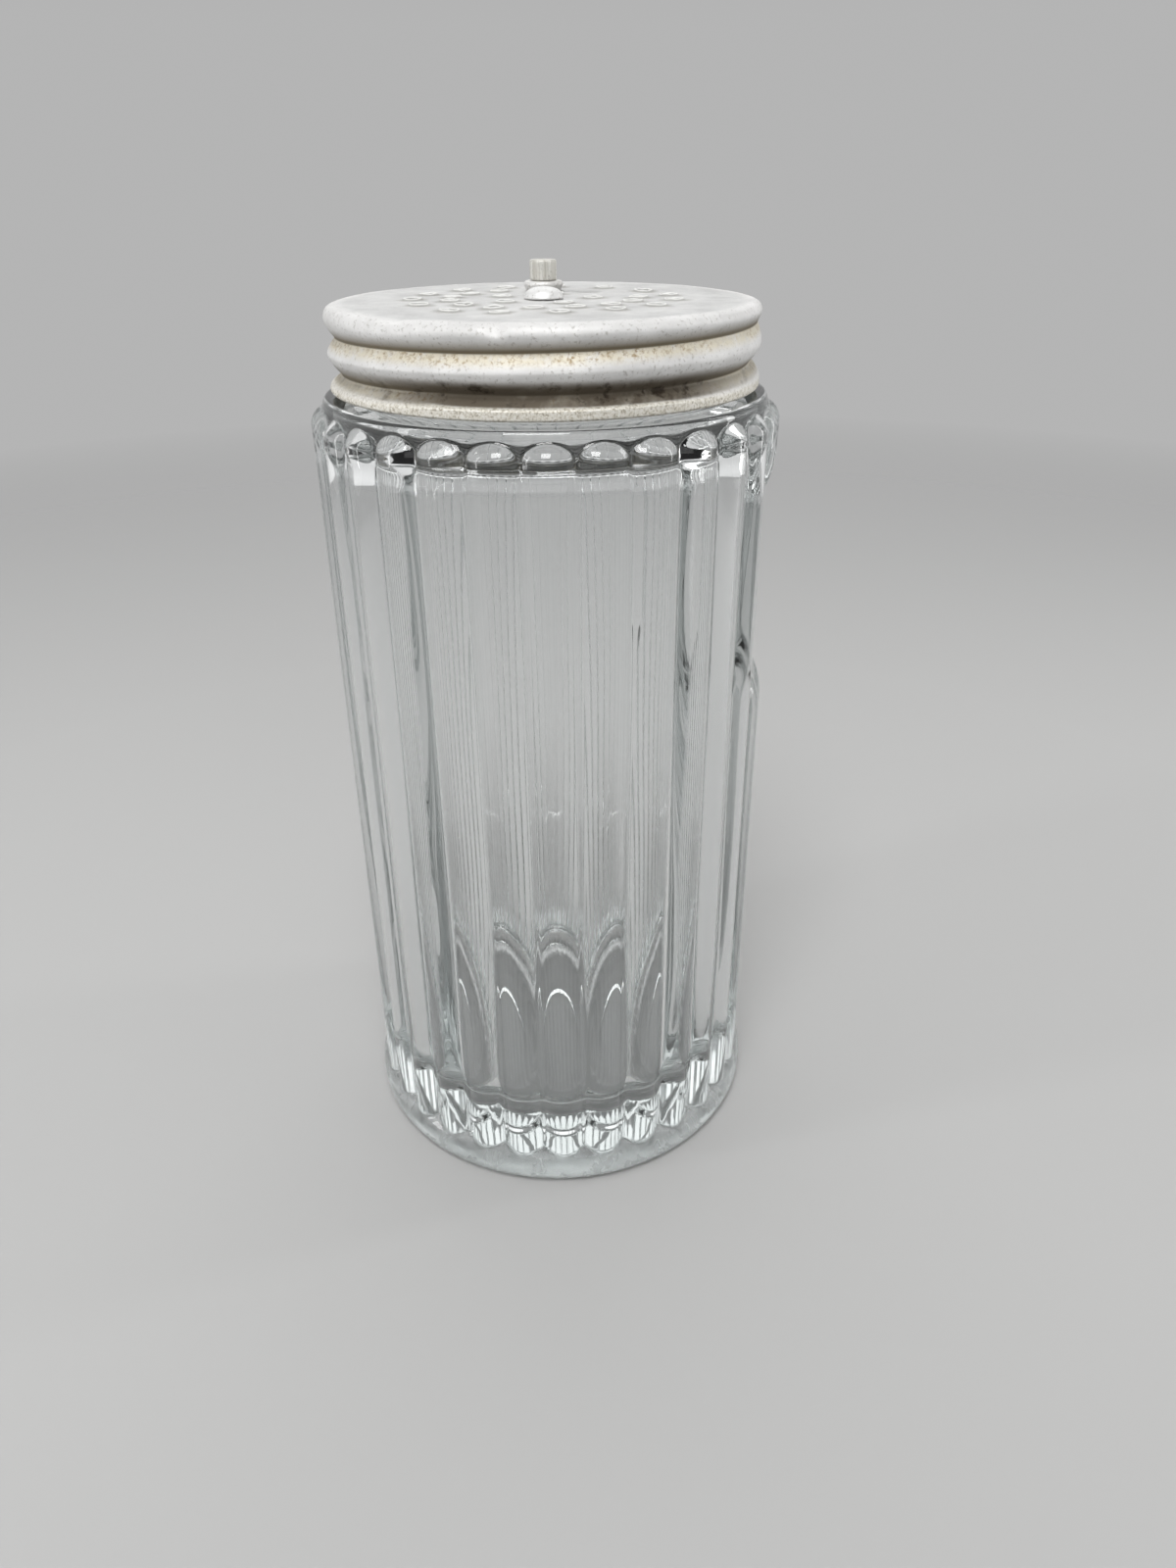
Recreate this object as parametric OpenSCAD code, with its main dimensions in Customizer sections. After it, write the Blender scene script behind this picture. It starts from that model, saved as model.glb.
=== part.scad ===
// Ribbed glass sugar shaker with a perforated screw lid and a turning shutter under it.
// The origin is the middle of the base, +Z is up, and the knob stands on the +Y side.

/* [Jar] */
// Diameter over the crests of the ribs
crest_d = 80; // [77:0.2:81]
// Depth of the ribs, from the crest to the land between two of them
rib_depth = 1.5; // [1:0.1:2]
// Number of ribs round the jar
rib_count = 30; // [26:2:36]
// Height of the shoulder ledge that the lid comes down to
ledge_z = 148; // [130:1:170]
// Diameter of the round foot
foot_d = 81.8; // [81.2:0.2:85]
// Thickness of the glass behind the lands
wall = 4.4; // [3:0.1:5]
// Thickness of the base inside the foot
base_t = 10; // [8:0.5:14]

/* [Label panel] */
// Lower edge of the plain panel
panel_low = 97.5; // [80:0.5:105]
// Height of the plain panel
panel_h = 35.5; // [25:0.5:40]
// Ribs that the panel interrupts
panel_ribs = 4; // [2:2:6]

/* [Lid] */
// Diameter over the rolled beads of the lid
lid_d = 72; // [71:0.5:74]
// Height of the lid
lid_h = 13.2; // [12.5:0.1:14]
// Thickness of the lid's sheet metal
lid_sheet = 0.9; // [0.7:0.05:1.1]
// Distance from one rolled bead to the next
bead_pitch = 5.8; // [5.4:0.05:6.2]
// Radius of the rolled beads
bead_r = 1.8; // [1.6:0.1:2]
// Depth of the grooves between the beads
groove_depth = 1.6; // [1.2:0.1:1.8]

/* [Shutter] */
// Thickness of the shutter's sheet metal
shutter_sheet = 0.8; // [0.6:0.05:1]
// Diameter of the pouring holes
hole_d = 2.8; // [2:0.1:3]
// Radius of the inner ring of pouring holes
inner_ring_r = 8.2; // [7.6:0.1:8.4]
// Radius of the middle ring of pouring holes
middle_ring_r = 15.6; // [15:0.1:16.4]
// Radius of the outer ring of pouring holes
outer_ring_r = 21.6; // [21:0.1:24]
// Swing of the knob from one end of its slot to the other
swing = 36; // [34:1:38]

/* [Knob and pivot] */
// Distance of the knob from the pivot
knob_r = 14; // [13.8:0.1:14.2]
// Diameter of the knob's post
post_d = 4.6; // [4:0.1:5]
// Height of the knob above the lid
knob_h = 5; // [4:0.1:6]
// Diameter of the collar under the post
collar_d = 6.9; // [6.5:0.1:7.2]
// Diameter of the pivot rivet's domed head
dome_d = 6.6; // [6:0.1:7.5]

/* [Hidden] */
$fn = 64;

glass = [0.80, 0.86, 0.88, 0.45];
aluminium = [0.74, 0.74, 0.72];
bright_aluminium = [0.84, 0.84, 0.83];
steel = [0.58, 0.59, 0.60];

// Clearances between pieces
running_gap = 0.05;
side_gap = 0.3;
ledge_gap = 0.8;
neck_gap = 0.7;
mouth_gap = 0.7;
cut_past = 1;

// Heights of the lid
lid_rim_z = ledge_z + ledge_gap;
lid_top_z = lid_rim_z + lid_h;
lid_under_z = lid_top_z - lid_sheet;
shutter_under_z = lid_under_z - shutter_sheet;

// Profile of the beads: each groove's arc runs into the arcs of its two beads
bead_center_r = lid_d / 2 - bead_r;
half_pitch = bead_pitch / 2;
arc_sum = (half_pitch * half_pitch + groove_depth * groove_depth) / (2 * groove_depth);
groove_r = arc_sum - bead_r;
groove_center_r = lid_d / 2 - groove_depth + groove_r;
top_bead_z = lid_top_z - bead_r;
groove_count = 2;
flank = atan(half_pitch / (groove_center_r - bead_center_r));
arc_steps = 8;

// Ribs: each is a round rod sunk into the body, with a narrow land between neighbours
core_r = crest_d / 2 - rib_depth;
rib_share = 0.94;
rib_half_angle = rib_share * 180 / rib_count;
rib_half_chord = core_r * sin(rib_half_angle);
rib_rise = crest_d / 2 - core_r * cos(rib_half_angle);
rib_r = (rib_half_chord * rib_half_chord + rib_rise * rib_rise) / (2 * rib_rise);
rib_center_r = crest_d / 2 - rib_r;
rib_front = -90;
rib_step = 360 / rib_count;
rib_top_z = ledge_z - 5.4;
rib_foot_z = 5;
panel_top = panel_low + panel_h;
panel_half_angle = panel_ribs * rib_step / 2;

// Foot
foot_edge_r = 3;
foot_brow_r = 5;
foot_wide_z = 4;

// Neck and mouth
neck_r = groove_center_r - groove_r - lid_sheet - neck_gap;
mouth_r = neck_r - 4.1;
lip_r = 1.2;
ledge_r = core_r - 0.9;
ledge_edge_r = 1;
shoulder_z = ledge_z - 5;

// Inside of the jar
inside_r = core_r - wall;
inside_low_r = 8;
inside_top_r = 6;
inside_top_z = ledge_z - 4;

// Shutter, pivot and knob
shutter_r = mouth_r - mouth_gap;
knob_azimuth = 90;
knob_shank_r = 1.5;
ring_r = [inner_ring_r, middle_ring_r, outer_ring_r];
ring_count = [5, 15, 15];
ring_turn = [5, 0, 12];
blank_margin = 14;
blank_from = knob_azimuth - 2 * swing - blank_margin;
blank_to = knob_azimuth + blank_margin;
slot_half = knob_shank_r + side_gap;
shank_r = 1.6;
dome_h = 1.8;
dome_lip = 0.3;
tail_r = 2.8;
tail_h = 1;
washer_r = 4.2;
washer_h = 0.6;
collar_h = 1.7;
knob_tail_r = 2.4;
knob_tail_h = 0.9;
post_chamfer = 0.25;

// Points of an arc between two angles, and a list turned end for end
function arc(center, r, from, to) = [
    for (k = [0:arc_steps])
        let (angle = from + (to - from) * k / arc_steps)
        center + r * [cos(angle), sin(angle)]
];
function reversed(points) = [for (k = [len(points) - 1:-1:0]) points[k]];

// Arcs of one groove and the bead under it, counted from the top and drawn in by an inset
function groove_and_bead(k, inset) =
    let (
        groove = arc(
            [groove_center_r, top_bead_z - (k - 0.5) * bead_pitch], groove_r + inset, 180 - flank, 180 + flank
        ),
        bead = arc([bead_center_r, top_bead_z - k * bead_pitch], bead_r - inset, flank, -flank)
    )
    concat([for (i = [1:arc_steps - 1]) groove[i]], bead);

// Line of the lid's sheet from the middle of the top down past the rim
function bead_line(inset) = concat(
    [[0, lid_top_z - inset]],
    arc([bead_center_r, top_bead_z], bead_r - inset, 90, -flank),
    [for (k = [1:groove_count]) each groove_and_bead(k, inset)]
);

// Rod standing on the origin with a ball end of the same radius at each end that is asked for
module rod(r, low, high, round_low) {
    translate([0, 0, low])
        rotate_extrude()
            intersection() {
                union() {
                    square([r, high - low]);
                    translate([0, high - low]) circle(r);
                    if (round_low) circle(r);
                }
                translate([0, -2 * r]) square([2 * r, high - low + 4 * r]);
            }
}

// Ribs round the jar: full ones, and two short lengths where the label panel interrupts them
module ribs() {
    for (k = [0:rib_count - 1]) {
        azimuth = rib_front + k * rib_step;
        on_panel = abs(azimuth) < panel_half_angle;
        rotate([0, 0, azimuth])
            translate([rib_center_r, 0, 0]) {
                if (on_panel) {
                    rod(rib_r, rib_foot_z, panel_low - rib_rise, false);
                    rod(rib_r, panel_top + rib_rise, rib_top_z, true);
                } else {
                    rod(rib_r, rib_foot_z, rib_top_z, false);
                }
            }
    }
}

module foot_profile() {
    square([foot_d / 2 - foot_edge_r, foot_wide_z + foot_brow_r]);
    translate([0, foot_edge_r]) square([foot_d / 2, foot_wide_z - foot_edge_r]);
    translate([foot_d / 2 - foot_edge_r, foot_edge_r]) circle(foot_edge_r);
    translate([foot_d / 2 - foot_brow_r, foot_wide_z])
        intersection() {
            circle(foot_brow_r);
            square(foot_brow_r);
        }
}

module body_profile() {
    square([core_r, shoulder_z]);
    polygon([
        [0, shoulder_z], [core_r, shoulder_z], [ledge_r, ledge_z - ledge_edge_r], [0, ledge_z - ledge_edge_r]
    ]);
    square([ledge_r - ledge_edge_r, ledge_z]);
    translate([ledge_r - ledge_edge_r, ledge_z - ledge_edge_r]) circle(ledge_edge_r);
    square([neck_r, lid_under_z - lip_r]);
    square([neck_r - lip_r, lid_under_z]);
    translate([neck_r - lip_r, lid_under_z - lip_r]) circle(lip_r);
}

module inside_profile() {
    translate([0, base_t]) square([inside_r - inside_low_r, inside_top_z - base_t]);
    translate([0, base_t + inside_low_r])
        square([inside_r, inside_top_z - inside_top_r - base_t - inside_low_r]);
    translate([inside_r - inside_low_r, base_t + inside_low_r]) circle(inside_low_r);
    translate([0, base_t + inside_low_r])
        square([inside_r - inside_top_r, inside_top_z - base_t - inside_low_r]);
    translate([inside_r - inside_top_r, inside_top_z - inside_top_r]) circle(inside_top_r);
    translate([0, base_t]) square([mouth_r, lid_under_z + cut_past - base_t]);
}

// Pressed glass jar: foot, ribbed body, shoulder ledge and plain neck, hollow inside
module glass_jar() {
    color(glass)
        difference() {
            union() {
                rotate_extrude() foot_profile();
                rotate_extrude() body_profile();
                ribs();
            }
            rotate_extrude() inside_profile();
        }
}

// Half section of the lid's sheet, cut level at the rim
module lid_section() {
    intersection() {
        polygon(concat(bead_line(0), reversed(bead_line(lid_sheet))));
        translate([0, lid_rim_z]) square([lid_d, lid_h + cut_past]);
    }
}

// Azimuths of one ring's holes on the lid; the middle ring leaves the knob's path blank
function hole_azimuths(ring) = [
    for (k = [0:ring_count[ring] - 1])
        let (azimuth = ring_turn[ring] + k * 360 / ring_count[ring])
        if (ring != 1 || azimuth < blank_from || azimuth > blank_to) azimuth
];

// Cutters for the three rings of pouring holes
module pouring_holes(turn) {
    for (ring = [0:len(ring_r) - 1])
        for (azimuth = hole_azimuths(ring))
            rotate([0, 0, azimuth + turn])
                translate([ring_r[ring], 0, shutter_under_z - cut_past])
                    cylinder(d = hole_d, h = lid_sheet + shutter_sheet + 2 * cut_past);
}

// Cutter for the knob's curved slot: two long arcs with a half round at each end
module arc_slot() {
    first = knob_azimuth - swing;
    last = knob_azimuth;
    translate([0, 0, lid_under_z - cut_past])
        linear_extrude(lid_sheet + 2 * cut_past)
            polygon(concat(
                arc([0, 0], knob_r + slot_half, first, last),
                arc(knob_r * [cos(last), sin(last)], slot_half, last, last + 180),
                arc([0, 0], knob_r - slot_half, last, first),
                arc(knob_r * [cos(first), sin(first)], slot_half, first + 180, first + 360)
            ));
}

// Pressed aluminium screw lid with its pouring holes, the knob's slot and the pivot hole
module lid_shell() {
    color(aluminium)
        difference() {
            rotate_extrude() lid_section();
            pouring_holes(0);
            arc_slot();
            translate([0, 0, lid_under_z - cut_past])
                cylinder(r = shank_r + running_gap, h = lid_sheet + 2 * cut_past);
        }
}

// Flat shutter under the lid: at rest its holes stand between the lid's holes
module shutter_disc() {
    color(bright_aluminium)
        difference() {
            translate([0, 0, shutter_under_z]) cylinder(r = shutter_r, h = shutter_sheet);
            pouring_holes(swing);
            translate([0, 0, shutter_under_z - cut_past])
                cylinder(r = shank_r + running_gap, h = shutter_sheet + 2 * cut_past);
            rotate([0, 0, knob_azimuth])
                translate([knob_r, 0, shutter_under_z - cut_past])
                    cylinder(r = knob_shank_r, h = shutter_sheet + 2 * cut_past);
        }
}

// Half section of the domed head: a low lip under a part of a ball
module dome_profile() {
    cap_h = dome_h - dome_lip;
    ball_r = (dome_d * dome_d / 4 + cap_h * cap_h) / (2 * cap_h);
    square([dome_d / 2, dome_lip]);
    intersection() {
        translate([0, dome_h - ball_r]) circle(ball_r);
        square([dome_d / 2, dome_h]);
    }
}

// Pivot rivet with its domed head, its shank and the clinched tail under the washer
module pivot_rivet() {
    tail_top = shutter_under_z - washer_h;
    color(bright_aluminium) {
        translate([0, 0, lid_top_z]) rotate_extrude() dome_profile();
        translate([0, 0, tail_top - tail_h]) cylinder(r = shank_r, h = lid_top_z - tail_top + tail_h + dome_lip);
        translate([0, 0, tail_top - tail_h]) cylinder(r = tail_r, h = tail_h);
    }
}

// Flat washer between the shutter and the rivet's tail
module friction_washer() {
    color(steel)
        translate([0, 0, shutter_under_z - washer_h])
            difference() {
                cylinder(r = washer_r, h = washer_h);
                translate([0, 0, -cut_past]) cylinder(r = shank_r, h = washer_h + 2 * cut_past);
            }
}

// Knob's post, with a shank through the slot and a tail clinched under the shutter
module knob_post() {
    foot_z = lid_top_z + collar_h;
    tail_z = shutter_under_z - knob_tail_h;
    color(bright_aluminium)
        rotate([0, 0, knob_azimuth])
            translate([knob_r, 0, 0]) {
                translate([0, 0, foot_z]) cylinder(d = post_d, h = knob_h - collar_h - post_chamfer);
                translate([0, 0, lid_top_z + knob_h - post_chamfer])
                    cylinder(d1 = post_d, d2 = post_d - 2 * post_chamfer, h = post_chamfer);
                translate([0, 0, tail_z]) cylinder(r = knob_shank_r, h = foot_z - tail_z + post_chamfer);
                translate([0, 0, tail_z]) cylinder(r = knob_tail_r, h = knob_tail_h);
            }
}

// Collar that carries the post and slides on the lid
module knob_collar() {
    color(aluminium)
        rotate([0, 0, knob_azimuth])
            translate([knob_r, 0, lid_top_z])
                difference() {
                    cylinder(d = collar_d, h = collar_h);
                    translate([0, 0, -cut_past]) cylinder(r = knob_shank_r, h = collar_h + 2 * cut_past);
                }
}

glass_jar();
lid_shell();
shutter_disc();
pivot_rivet();
friction_washer();
knob_post();
knob_collar();
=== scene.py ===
"""Ribbed glass sugar shaker: dressed pieces, pale floor, soft light and camera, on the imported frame."""
import math

import bmesh
import bpy
import numpy as np
from mathutils import Matrix, Vector, noise
from mathutils.geometry import delaunay_2d_cdt


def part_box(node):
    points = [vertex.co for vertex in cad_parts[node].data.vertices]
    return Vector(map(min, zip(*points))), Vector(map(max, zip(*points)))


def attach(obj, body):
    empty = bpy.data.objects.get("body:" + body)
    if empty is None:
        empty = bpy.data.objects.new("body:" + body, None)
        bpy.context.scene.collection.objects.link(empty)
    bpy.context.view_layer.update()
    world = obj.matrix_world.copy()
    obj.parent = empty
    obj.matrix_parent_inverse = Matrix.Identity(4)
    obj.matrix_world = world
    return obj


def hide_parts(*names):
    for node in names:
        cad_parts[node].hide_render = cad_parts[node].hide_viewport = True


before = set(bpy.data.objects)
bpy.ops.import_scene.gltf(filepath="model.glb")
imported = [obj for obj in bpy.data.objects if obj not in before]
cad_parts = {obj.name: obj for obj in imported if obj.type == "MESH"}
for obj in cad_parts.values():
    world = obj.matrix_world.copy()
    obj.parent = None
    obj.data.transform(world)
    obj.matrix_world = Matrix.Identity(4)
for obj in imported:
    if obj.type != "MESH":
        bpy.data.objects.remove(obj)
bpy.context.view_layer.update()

# Sizes are in millimetres and are turned into metres when a mesh is made
MM = 0.001


def node_box(node):
    """Lowest and highest corner of a CAD node, in millimetres."""
    low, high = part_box(node)
    return Vector(low) / MM, Vector(high) / MM


_, jar_high = node_box("glass_jar")
lid_low, lid_high = node_box("lid_shell")
rivet_low, rivet_high = node_box("pivot_rivet")
post_low, post_high = node_box("knob_post")
collar_low, collar_high = node_box("knob_collar")

# Ribs and label panel of the jar
FOOT_R = jar_high.x
CREST_R = FOOT_R - 0.9
CORE_R = CREST_R - 1.5
RIB_COUNT = 30
RIB_R = 5.09
RIB_FRONT = math.radians(-90)
RIB_LOW = 5.0
RIB_TOP = 143.3
RIB_CAP = 3.6
RIB_FILLET = 0.3
CAP_FILLET = 0.6
PANEL_LOW = 98.5
PANEL_TOP = 133.2
PANEL_RIBS = 4
PANEL_CAP = 10.0
PANEL_DEPTH = 0.5
PANEL_EDGE = 3.0
PANEL_SIDE = 0.06

# Foot, base, shoulder, neck and inside of the jar
FOOT_EDGE = 3.0
FOOT_BROW = 5.0
FOOT_BROW_Z = 4.0
WORN_Z = (0.6, 4.5)
WORN_R = (29, 35)
BASE_T = 10.0
BASE_CROWN = 0.25
BASE_RING = 16.0
BASE_RING_HALF = 1.6
BASE_RISE = 0.6
SHOULDER_Z = 143.0
LEDGE_Z = 148.0
LEDGE_R = CORE_R - 0.9
LEDGE_EDGE = 1.0
NECK_R = 32.8
NECK_TOP = jar_high.z
NECK_FILLET = 0.8
LIP_R = 1.2
MOUTH_R = 28.7
INSIDE_R = CORE_R - 4.4
INSIDE_LOW_R = 12.0
INSIDE_TOP_R = 6.0
INSIDE_TOP = LEDGE_Z - 4
WAVE_H = 0.35
WAVE_ROUND = 5
WAVE_ALONG = 0.018
WAVE_SEED = 3.1
JAR_COLUMNS = 600
# Rows up the wall: lowest, highest and steps, closer together at the rounded rib ends
WALL_ROWS = ((8.6, 90, 33), (90.5, 100.5, 36), (102, 131, 12), (131.5, 142, 36), (142.4, 143, 2))

# Screw thread of the neck; it fades over some degrees at both ends
PITCH = 5.7
THREAD_Z = 151.62
THREAD_TURNS = 1.2
THREAD_H = 1.3
THREAD_HALF = 1.4
THREAD_FADE = 40

# Lid
LID_R = lid_high.x
LID_RIM = lid_low.z
LID_TOP = lid_high.z
LID_SHEET = 0.9
LID_EDGE_R = 1.9
LID_COLUMNS = 360
GROOVE_START = 185.0
GROOVE_ROUND = 0.006
GROOVE_MIDDLE = 0.06
# Rolled groove: degrees from its low end, height of its bottom over the rim, depth
GROOVE_PATH = (
    (-70, 2.4, 0.0), (-10, 2.5, 2.3), (60, 3.3, 2.3), (105, 3.4, 2.2), (145, 3.7, 2.1), (165, 4.1, 2.0),
    (300, 6.9, 1.8), (365, 8.3, 1.65), (445, 9.1, 1.6), (525, 9.9, 0.9), (570, 10.4, 0.0),
)
# Hem under the groove: azimuth, height of its upper edge over the rim, height over which it steps in
HEM = (
    (0, 0.3, 1.2), (180, 0.3, 1.9), (222, 0.5, 1.7), (242, 1.5, 0.4), (300, 1.5, 0.4), (325, 0.6, 1.4),
    (360, 0.3, 1.2),
)
# Dents: place, direction of the push, reach, depth
DENTS = (
    ((-24.0, -25.6, 161.2), (0.5, 0.5, -0.6), 2.6, 0.55),
    ((-21.0, -28.6, 161.6), (0.4, 0.5, -0.7), 1.8, 0.4),
    ((-27.5, -22.5, 160.6), (0.7, 0.4, -0.4), 1.6, 0.35),
    ((-26.4, -23.4, 161.7), (0.3, 0.3, -0.9), 0.8, 0.35),
    ((-23.0, -26.4, 161.8), (0.3, 0.3, -0.9), 0.7, 0.3),
    ((-21.4, -26.8, 161.9), (0.2, 0.3, -0.9), 0.8, 0.35),
    ((-6.8, -34.9, 161.2), (0.1, 0.8, -0.5), 1.3, 0.6),
    ((14.0, -32.5, 161.0), (-0.2, 0.7, -0.6), 2.2, 0.25),
    ((19.0, 9.0, 162.0), (0, 0, -1), 5.0, 0.25),
    ((-12.0, -18.0, 162.0), (0, 0, -1), 6.0, 0.22),
)

# Pouring holes, slot and knob
HOLE_R = 1.4
BURR_R = 1.85
BURR_H = 0.36
BURR_SIDES = 20
BURR_CREST = (1.6, 1.7)
# Rings up a burr: radius, share of its height
BURR_ROWS = ((1.7, 0.35), (1.56, 0.9), (1.46, 1.0), (HOLE_R, 0.8))
# Rings of holes: radius, count, azimuth of the first; the middle one is blank over a range of azimuths
RINGS = ((8.2, 5, 5.0), (15.6, 15, 0.0), (21.6, 15, 12.0))
BLANK = (4.0, 104.0)
KNOB_R = 14.0
KNOB_AZIMUTH = 90.0
SWING = 36.0
SLOT_HALF = 1.8
SLOT_EDGE = 0.25
SLOT_END_STEPS = 14
PIVOT_R = 1.65
PIVOT_SIDES = 24
PLATE_STEP = 1.25
PLATE_CLEAR = 0.55
POST_R = 2.3
FLUTES = 30
FLUTE_H = 0.045

# Brightness of the floor and the studio round the horizon
PALE = 0.46
# Share of that brightness which lights the matt surfaces
FILL = 0.4
# Hair of air under the base, which the real one has too: without it the base does not reflect inside
FLOOR_GAP = 0.1
FLOOR_REACH = 900
# Soft lamps, in metres: name, place, point that it faces, width, height, watts
LAMPS = (
    ("key", (-0.08, -0.5, 0.95), (0, 0, 0.12), 0.4, 0.4, 5.6),
    ("front", (0.1, -0.9, 0.5), (0, 0, 0.12), 0.8, 0.6, 1.5),
    ("top", (0, 0.1, 0.85), (0, 0.1, 0), 0.7, 0.7, 0.9),
    ("back", (0, 0.55, 0.60), (0, 0, 0.08), 0.9, 0.4, 1.6),
    ("left_panel", (-0.42, 0.05, 0.27), (0, 0.05, 0.17), 0.7, 0.5, 0.5),
    ("right_panel", (0.42, 0.05, 0.27), (0, 0.05, 0.17), 0.7, 0.5, 0.4),
    ("left_strip", (-0.5, -0.16, 0.26), (0, 0, 0.12), 0.06, 0.5, 0.5),
    ("right_strip", (0.5, 0.1, 0.26), (0, 0, 0.12), 0.06, 0.5, 0.4),
)
# Camera: place, degrees of pan, pitch and roll, focal length on a 36 mm sensor
CAMERA_PLACE = (0, -199.1, 179.6)
CAMERA_TURNS = (1.91, 28.76, -0.47)
CAMERA_LENS = 25.425
CAMERA_SENSOR = 36.0


def polar(r, degrees):
    """Point of the XY plane at a radius and an azimuth."""
    angle = math.radians(degrees)
    return Vector((r * math.cos(angle), r * math.sin(angle)))


def arc(center, r, start, end, steps):
    """Points of an arc in a half section, from one angle to another, both ends included."""
    angles = np.radians(np.linspace(start, end, steps + 1))
    return [(center[0] + r * math.cos(a), center[1] + r * math.sin(a)) for a in angles]


def smooth_max(a, b, width):
    """Larger of two arrays, with the crease between them filled over a width."""
    blend = np.clip(width - np.abs(a - b), 0, None) / width
    return np.maximum(a, b) + blend * blend * width / 4


def smooth_step(x, low, high):
    """Soft step from 0 to 1 between two levels."""
    t = np.clip((np.asarray(x, float) - low) / (high - low), 0, 1)
    return t * t * (3 - 2 * t)


def link_mesh(name, bm):
    """Links a bmesh in millimetres as an object in metres."""
    mesh = bpy.data.meshes.new(name)
    bm.to_mesh(mesh)
    bm.free()
    mesh.transform(Matrix.Scale(MM, 4))
    obj = bpy.data.objects.new(name, mesh)
    bpy.context.scene.collection.objects.link(obj)
    return obj


def add_piece(name, bm, body, node):
    """Links a bmesh in millimetres as a piece that rides on a body and stands for a CAD node."""
    bmesh.ops.recalc_face_normals(bm, faces=bm.faces)
    piece = link_mesh(name, bm)
    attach(piece, body)
    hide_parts(node)
    return piece


def smooth_by_angle(bm, degrees):
    """Smooth shading with sharp edges where two faces meet at more than an angle."""
    limit = math.radians(degrees)
    for face in bm.faces:
        face.smooth = True
    for edge in bm.edges:
        edge.smooth = len(edge.link_faces) == 2 and edge.calc_face_angle() < limit


def skin_rings(bm, rings, first_center=None, last_center=None):
    """Quads between rings of points, with a fan to a centre at either end; returns the rings' vertices."""
    rows = [[bm.verts.new(point) for point in ring] for ring in rings]
    for low, high in zip(rows, rows[1:]):
        bridge(bm, low, high)
    for center, row in ((first_center, rows[0]), (last_center, rows[-1])):
        if center is not None:
            hub = bm.verts.new(center)
            for k in range(len(row)):
                bm.faces.new((hub, row[k], row[(k + 1) % len(row)]))
    return rows


def bridge(bm, first, second):
    """Quads between two closed rows of as many vertices."""
    count = len(first)
    for k in range(count):
        after = (k + 1) % count
        bm.faces.new((first[k], first[after], second[after], second[k]))


def ring_points(radii, heights, theta):
    """Points round the axis from arrays of radius and height."""
    heights = np.broadcast_to(heights, theta.shape)
    return np.stack([radii * np.cos(theta), radii * np.sin(theta), heights], -1)


def store_marks(obj, marks):
    """Stores named values on an object's vertices, for its material."""
    for name, values in marks.items():
        layer = obj.data.attributes.new(name, "FLOAT", "POINT")
        layer.data.foreach_set("value", np.ascontiguousarray(values, dtype=np.float32))


def vertex_places(obj):
    """Places of an object's vertices, in millimetres."""
    place = np.zeros(len(obj.data.vertices) * 3)
    obj.data.vertices.foreach_get("co", place)
    return place.reshape(-1, 3) / MM


# Glass jar
jar_theta = np.linspace(0, 2 * math.pi, JAR_COLUMNS, endpoint=False)
rib_step = 2 * math.pi / RIB_COUNT
rib_center_r = CREST_R - RIB_R
# Share of a rounded rib end that stands out of the body
end_share = math.sqrt(1 - ((CORE_R - rib_center_r) / RIB_R) ** 2)
rib_phase = (jar_theta - RIB_FRONT + rib_step / 2) % rib_step - rib_step / 2
turned_theta = (jar_theta + math.pi) % (2 * math.pi) - math.pi
panel_half = PANEL_RIBS * rib_step / 2
on_panel = np.abs(turned_theta) < panel_half
panel_dip = PANEL_DEPTH * (1 - smooth_step(np.abs(turned_theta), panel_half - PANEL_SIDE, panel_half))


def span_share(z, low, high, cap):
    """Squared share of a rib's radius that is left at a height, with rounded ends past a span."""
    past = max(low - z, z - high, 0.0) / cap
    return 1 - past * past


def ribbed(core, z):
    """Radius of the ribbed outside at one height, for every column."""
    plain = span_share(z, 0, RIB_TOP, RIB_CAP)
    reach = end_share * PANEL_CAP
    broken = max(
        span_share(z, 0, PANEL_LOW - reach, PANEL_CAP),
        min(plain, span_share(z, PANEL_TOP + reach, RIB_TOP, PANEL_CAP)),
    )
    share = np.where(on_panel, broken, plain)
    under = RIB_R**2 * share - (rib_center_r * np.sin(rib_phase))**2
    rib = rib_center_r * np.cos(rib_phase) + np.sqrt(np.clip(under, 0, None))
    fillet = RIB_FILLET + CAP_FILLET * np.clip(1 - share, 0, 1)
    dip = smooth_step(z, PANEL_LOW - PANEL_EDGE, PANEL_LOW + PANEL_EDGE)
    dip = dip * (1 - smooth_step(z, PANEL_TOP - PANEL_EDGE, PANEL_TOP + PANEL_EDGE))
    body = core - dip * panel_dip
    return np.where(under > 0, smooth_max(body, rib, fillet), body)


def thread_height(z):
    """Height of the neck's screw thread over the plain wall at one z, for every column."""
    total = np.zeros_like(jar_theta)
    azimuth = np.degrees(jar_theta) % 360
    end = 360 * THREAD_TURNS
    for turn in range(-1, 4):
        along = azimuth + 360 * turn
        center = THREAD_Z + PITCH * along / 360
        off = np.clip(np.abs(z - center) / THREAD_HALF, 0, 1)
        bell = 0.5 + 0.5 * np.cos(math.pi * off)
        ends = smooth_step(along, 0, THREAD_FADE) * (1 - smooth_step(along, end - THREAD_FADE, end))
        total = np.maximum(total, THREAD_H * bell * ends)
    return total


def wave(z):
    """Slow unevenness of the inside at one z, longer along the jar than round it."""
    heights = []
    for t in jar_theta:
        place = (WAVE_ROUND * math.cos(t) + WAVE_SEED, WAVE_ROUND * math.sin(t), z * WAVE_ALONG)
        heights.append(WAVE_H * noise.noise(Vector(place)))
    return np.array(heights)


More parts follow.
